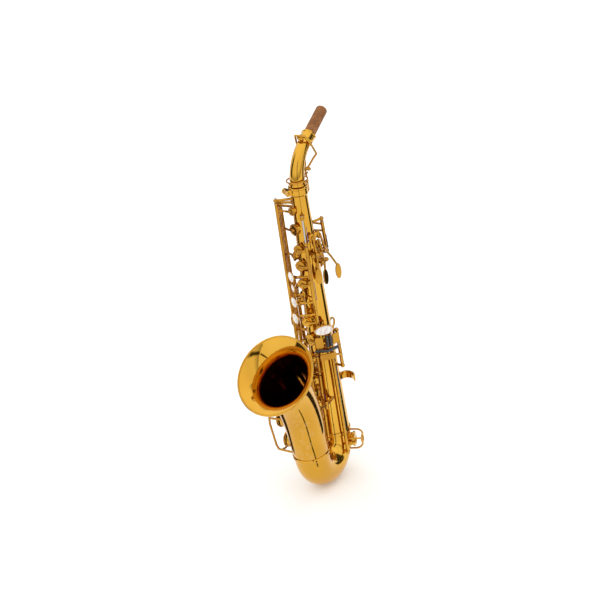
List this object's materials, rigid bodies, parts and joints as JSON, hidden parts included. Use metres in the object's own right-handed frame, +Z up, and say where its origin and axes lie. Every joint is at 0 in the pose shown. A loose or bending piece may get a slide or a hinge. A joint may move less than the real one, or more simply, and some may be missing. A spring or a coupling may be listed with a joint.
{
  "type": "soprano saxophone",
  "caption": "Curved-bell soprano saxophone with a detachable neck, lacquered brass body, sprung keywork on pivot steels, pearl touches and a corked neck end.",
  "frame": {"origin": "centre of the strap ring on the back of the body tube", "axes": "+Z up along the body tube towards the neck, +Y towards the bell, +X to the player's right"},
  "size_m": [0.0964, 0.2145, 0.4394],
  "materials": {
    "lacquered_brass": "polished, clear gold lacquer",
    "cork": "matt fine cork",
    "pearl": "polished mother of pearl",
    "roller_black": "polished black",
    "steel": "ground",
    "blued_steel": "heat blued",
    "pad_leather": "smooth kid leather",
    "felt": "dense felt"
  },
  "bodies": {
    "root": {"bell": "lacquered_brass", "bell_brace": "lacquered_brass", "bell_key_guard": "lacquered_brass", "bell_rim_bead": "lacquered_brass", "body_bow_ring": "lacquered_brass", "body_tube": "lacquered_brass", "bow": "lacquered_brass", "bow_bell_ring": "lacquered_brass", "key_posts": "lacquered_brass", "low_c_sharp_guard": "lacquered_brass", "neck_receiver": "lacquered_brass", "needle_springs": "blued_steel", "pivot_steels": "steel", "strap_ring": "lacquered_brass", "thumb_hook": "lacquered_brass", "thumb_rest": "lacquered_brass"},
    "neck_clamp_screw": {"neck_clamp_screw": "lacquered_brass"},
    "neck": {"neck_tube": "lacquered_brass", "neck_collar": "lacquered_brass", "mouthpiece_cork": "cork", "neck_key_saddle": "lacquered_brass"},
    "neck_octave_key": {"neck_octave_key": "lacquered_brass"},
    "octave_thumb_lever": {"octave_thumb_lever": "lacquered_brass"},
    "body_octave_key": {"body_octave_key": "lacquered_brass"},
    "neck_octave_pin": {"neck_octave_pin": "lacquered_brass"},
    "palm_d_key": {"palm_d_key": "lacquered_brass"},
    "palm_e_flat_key": {"palm_e_flat_key": "lacquered_brass"},
    "palm_f_key": {"palm_f_key": "lacquered_brass"},
    "high_f_sharp_key": {"high_f_sharp_key": "lacquered_brass"},
    "side_high_e_key": {"side_high_e_key": "lacquered_brass"},
    "side_c_key": {"side_c_key": "lacquered_brass"},
    "side_b_flat_key": {"side_b_flat_key": "lacquered_brass"},
    "c_key": {"c_key": "lacquered_brass"},
    "b_key": {"b_key": "lacquered_brass", "pearl_b": "pearl"},
    "a_key": {"a_key": "lacquered_brass", "pearl_a": "pearl"},
    "g_key": {"g_key": "lacquered_brass", "pearl_g": "pearl"},
    "bis_key": {"bis_key": "lacquered_brass", "pearl_bis": "pearl"},
    "f_sharp_key": {"f_sharp_key": "lacquered_brass"},
    "f_key": {"f_key": "lacquered_brass", "pearl_f": "pearl"},
    "e_key": {"e_key": "lacquered_brass", "pearl_e": "pearl"},
    "d_key": {"d_key": "lacquered_brass", "pearl_d": "pearl"},
    "g_sharp_key": {"g_sharp_key": "lacquered_brass"},
    "g_sharp_touch": {"g_sharp_touch": "lacquered_brass", "pearl_g_sharp": "pearl"},
    "low_b_touch": {"low_b_touch": "lacquered_brass", "table_rollers": "roller_black"},
    "low_b_flat_touch": {"low_b_flat_touch": "lacquered_brass"},
    "low_c_sharp_key": {"low_c_sharp_key": "lacquered_brass"},
    "low_b_key": {"low_b_key": "lacquered_brass"},
    "low_b_flat_key": {"low_b_flat_key": "lacquered_brass"},
    "low_e_flat_key": {"low_e_flat_key": "lacquered_brass"},
    "low_c_key": {"low_c_key": "lacquered_brass"}
  },
  "joints": [
    {"name": "neck_clamp_screw_turn", "type": "hinge", "parent": "root", "child": "neck_clamp_screw", "pos_m": [0.01164, 0.03798, 0.17985], "axis": [0.829, -0.5592, 0], "range_deg": [-180, 180]},
    {"name": "neck_swivel", "type": "hinge", "parent": "root", "child": "neck", "pos_m": [0, 0.02967, -0.123], "axis": [0, 0, 1], "range_deg": [-20, 20]},
    {"name": "neck_octave_key_hinge", "type": "hinge", "parent": "neck", "child": "neck_octave_key", "pos_m": [0, 0.01017, 0.19794], "axis": [1, 0, 0], "range_deg": [-5, 0], "stiffness_Nm_per_rad": 0.15, "springref_deg": 6.88},
    {"name": "octave_thumb_lever_hinge", "type": "hinge", "parent": "root", "child": "octave_thumb_lever", "pos_m": [-0.01124, 0.00662, 0.1043], "axis": [0.0148, 0.0304, 0.9994], "range_deg": [0, 6], "stiffness_Nm_per_rad": 0.15, "springref_deg": -6.88},
    {"name": "body_octave_key_hinge", "type": "hinge", "parent": "root", "child": "body_octave_key", "pos_m": [-0.01106, 0.007, 0.1166], "axis": [0.0148, 0.0304, 0.9994], "range_deg": [-5, 0], "stiffness_Nm_per_rad": 0.15, "springref_deg": 6.88},
    {"name": "neck_octave_pin_hinge", "type": "hinge", "parent": "root", "child": "neck_octave_pin", "pos_m": [-0.01087, 0.00739, 0.1293], "axis": [0.0148, 0.0304, 0.9994], "range_deg": [-5, 0], "stiffness_Nm_per_rad": 0.15, "springref_deg": 6.88},
    {"name": "palm_d_key_hinge", "type": "hinge", "parent": "root", "child": "palm_d_key", "pos_m": [-0.02047, 0.02895, 0.094], "axis": [-0.0349, 0.9994, 0], "range_deg": [-7, 0], "stiffness_Nm_per_rad": 0.15, "springref_deg": 6.88},
    {"name": "palm_e_flat_key_hinge", "type": "hinge", "parent": "root", "child": "palm_e_flat_key", "pos_m": [-0.01792, 0.0388, 0.105], "axis": [0.454, 0.891, 0], "range_deg": [-7, 0], "stiffness_Nm_per_rad": 0.15, "springref_deg": 6.88},
    {"name": "palm_f_key_hinge", "type": "hinge", "parent": "root", "child": "palm_f_key", "pos_m": [-0.01709, 0.01899, 0.104], "axis": [-0.5299, 0.848, 0], "range_deg": [-7, 0], "stiffness_Nm_per_rad": 0.15, "springref_deg": 6.88},
    {"name": "high_f_sharp_key_hinge", "type": "hinge", "parent": "root", "child": "high_f_sharp_key", "pos_m": [0.02428, 0.04258, 0.067], "axis": [0, 0, 1], "range_deg": [-7, 0], "stiffness_Nm_per_rad": 0.15, "springref_deg": 6.88},
    {"name": "side_high_e_key_hinge", "type": "hinge", "parent": "root", "child": "side_high_e_key", "pos_m": [0.02668, 0.03632, 0.085], "axis": [0, 0, 1], "range_deg": [-7, 0], "stiffness_Nm_per_rad": 0.15, "springref_deg": 6.88},
    {"name": "side_c_key_hinge", "type": "hinge", "parent": "root", "child": "side_c_key", "pos_m": [0.0275, 0.02967, 0.073], "axis": [0, 0, 1], "range_deg": [-7, 0], "stiffness_Nm_per_rad": 0.15, "springref_deg": 6.88},
    {"name": "side_b_flat_key_hinge", "type": "hinge", "parent": "root", "child": "side_b_flat_key", "pos_m": [0.02668, 0.02302, 0.0125], "axis": [0, 0, 1], "range_deg": [-7, 0], "stiffness_Nm_per_rad": 0.15, "springref_deg": 6.88},
    {"name": "c_key_hinge", "type": "hinge", "parent": "root", "child": "c_key", "pos_m": [-0.00999, 0.04629, 0.1117], "axis": [0.0174, -0.029, 0.9994], "range_deg": [-7, 0], "stiffness_Nm_per_rad": 0.15, "springref_deg": 6.88},
    {"name": "b_key_hinge", "type": "hinge", "parent": "root", "child": "b_key", "pos_m": [-0.01033, 0.04686, 0.0918], "axis": [0.0174, -0.029, 0.9994], "range_deg": [-7, 0], "stiffness_Nm_per_rad": 0.15, "springref_deg": 6.88},
    {"name": "a_key_hinge", "type": "hinge", "parent": "root", "child": "a_key", "pos_m": [-0.01091, 0.04782, 0.0588], "axis": [0.0174, -0.029, 0.9994], "range_deg": [-7, 0], "stiffness_Nm_per_rad": 0.15, "springref_deg": 6.88},
    {"name": "g_key_hinge", "type": "hinge", "parent": "root", "child": "g_key", "pos_m": [-0.0114, 0.04865, 0.0304], "axis": [0.0174, -0.029, 0.9994], "range_deg": [-7, 0], "stiffness_Nm_per_rad": 0.15, "springref_deg": 6.88},
    {"name": "bis_key_hinge", "type": "hinge", "parent": "root", "child": "bis_key", "pos_m": [0.01879, 0.03803, 0.062], "axis": [-0.0309, -0.0138, 0.9994], "range_deg": [0, 5], "stiffness_Nm_per_rad": 0.15, "springref_deg": -6.88},
    {"name": "f_sharp_key_hinge", "type": "hinge", "parent": "root", "child": "f_sharp_key", "pos_m": [-0.00611, 0.05249, -0.0282], "axis": [0.0088, -0.0327, 0.9994], "range_deg": [-5, 0], "stiffness_Nm_per_rad": 0.15, "springref_deg": 6.88},
    {"name": "f_key_hinge", "type": "hinge", "parent": "root", "child": "f_key", "pos_m": [-0.00635, 0.05335, -0.0548], "axis": [0.0088, -0.0327, 0.9994], "range_deg": [-5, 0], "stiffness_Nm_per_rad": 0.15, "springref_deg": 6.88},
    {"name": "e_key_hinge", "type": "hinge", "parent": "root", "child": "e_key", "pos_m": [-0.00658, 0.05421, -0.081], "axis": [0.0088, -0.0327, 0.9994], "range_deg": [-5, 0], "stiffness_Nm_per_rad": 0.15, "springref_deg": 6.88},
    {"name": "d_key_hinge", "type": "hinge", "parent": "root", "child": "d_key", "pos_m": [-0.00683, 0.05516, -0.11015], "axis": [0.0088, -0.0327, 0.9994], "range_deg": [-5, 0], "stiffness_Nm_per_rad": 0.15, "springref_deg": 6.88},
    {"name": "g_sharp_key_hinge", "type": "hinge", "parent": "root", "child": "g_sharp_key", "pos_m": [-0.0103, 0.04987, -0.00025], "axis": [0.0154, -0.0301, 0.9994], "range_deg": [0, 7], "stiffness_Nm_per_rad": 0.15, "springref_deg": -6.88},
    {"name": "g_sharp_touch_hinge", "type": "hinge", "parent": "root", "child": "g_sharp_touch", "pos_m": [-0.02513, 0.03143, -0.00065], "axis": [0.0337, -0.0024, 0.9994], "range_deg": [0, 5], "stiffness_Nm_per_rad": 0.15, "springref_deg": -6.88},
    {"name": "low_b_touch_hinge", "type": "hinge", "parent": "root", "child": "low_b_touch", "pos_m": [-0.02557, 0.03146, -0.0136], "axis": [0.0337, -0.0024, 0.9994], "range_deg": [0, 5], "stiffness_Nm_per_rad": 0.15, "springref_deg": -6.88},
    {"name": "low_b_flat_touch_hinge", "type": "hinge", "parent": "root", "child": "low_b_flat_touch", "pos_m": [-0.02605, 0.03149, -0.02795], "axis": [0.0337, -0.0024, 0.9994], "range_deg": [0, 5], "stiffness_Nm_per_rad": 0.15, "springref_deg": -6.88},
    {"name": "low_c_sharp_key_hinge", "type": "hinge", "parent": "root", "child": "low_c_sharp_key", "pos_m": [-0.02074, 0.04069, -0.0685], "axis": [0.0299, -0.0159, 0.9994], "range_deg": [-6, 0], "stiffness_Nm_per_rad": 0.15, "springref_deg": 6.88},
    {"name": "low_b_key_hinge", "type": "hinge", "parent": "root", "child": "low_b_key", "pos_m": [0, 0.06127, -0.083], "axis": [0, 0, 1], "range_deg": [0, 4], "stiffness_Nm_per_rad": 0.15, "springref_deg": -6.88},
    {"name": "low_b_flat_key_hinge", "type": "hinge", "parent": "root", "child": "low_b_flat_key", "pos_m": [0.0085, 0.06067, -0.066], "axis": [0, 0, 1], "range_deg": [0, 4], "stiffness_Nm_per_rad": 0.15, "springref_deg": -6.88},
    {"name": "low_e_flat_key_hinge", "type": "hinge", "parent": "root", "child": "low_e_flat_key", "pos_m": [0.0255, 0.01937, -0.08125], "axis": [0, 0, 1], "range_deg": [0, 7], "stiffness_Nm_per_rad": 0.15, "springref_deg": -6.88},
    {"name": "low_c_key_hinge", "type": "hinge", "parent": "root", "child": "low_c_key", "pos_m": [0.0255, 0.01937, -0.12725], "axis": [0, 0, 1], "range_deg": [0, 6], "stiffness_Nm_per_rad": 0.15, "springref_deg": -6.88}
  ],
  "couplings": [
    {"joint": "c_key_hinge", "follows": "b_key_hinge", "ratio": 1},
    {"joint": "low_b_key_hinge", "follows": "low_b_touch_hinge", "ratio": 0.8},
    {"joint": "low_b_flat_key_hinge", "follows": "low_b_flat_touch_hinge", "ratio": 0.8},
    {"joint": "g_sharp_key_hinge", "follows": "g_sharp_touch_hinge", "ratio": 1.4},
    {"joint": "body_octave_key_hinge", "follows": "octave_thumb_lever_hinge", "ratio": -0.8333},
    {"joint": "neck_octave_key_hinge", "follows": "neck_octave_pin_hinge", "ratio": 1}
  ]
}
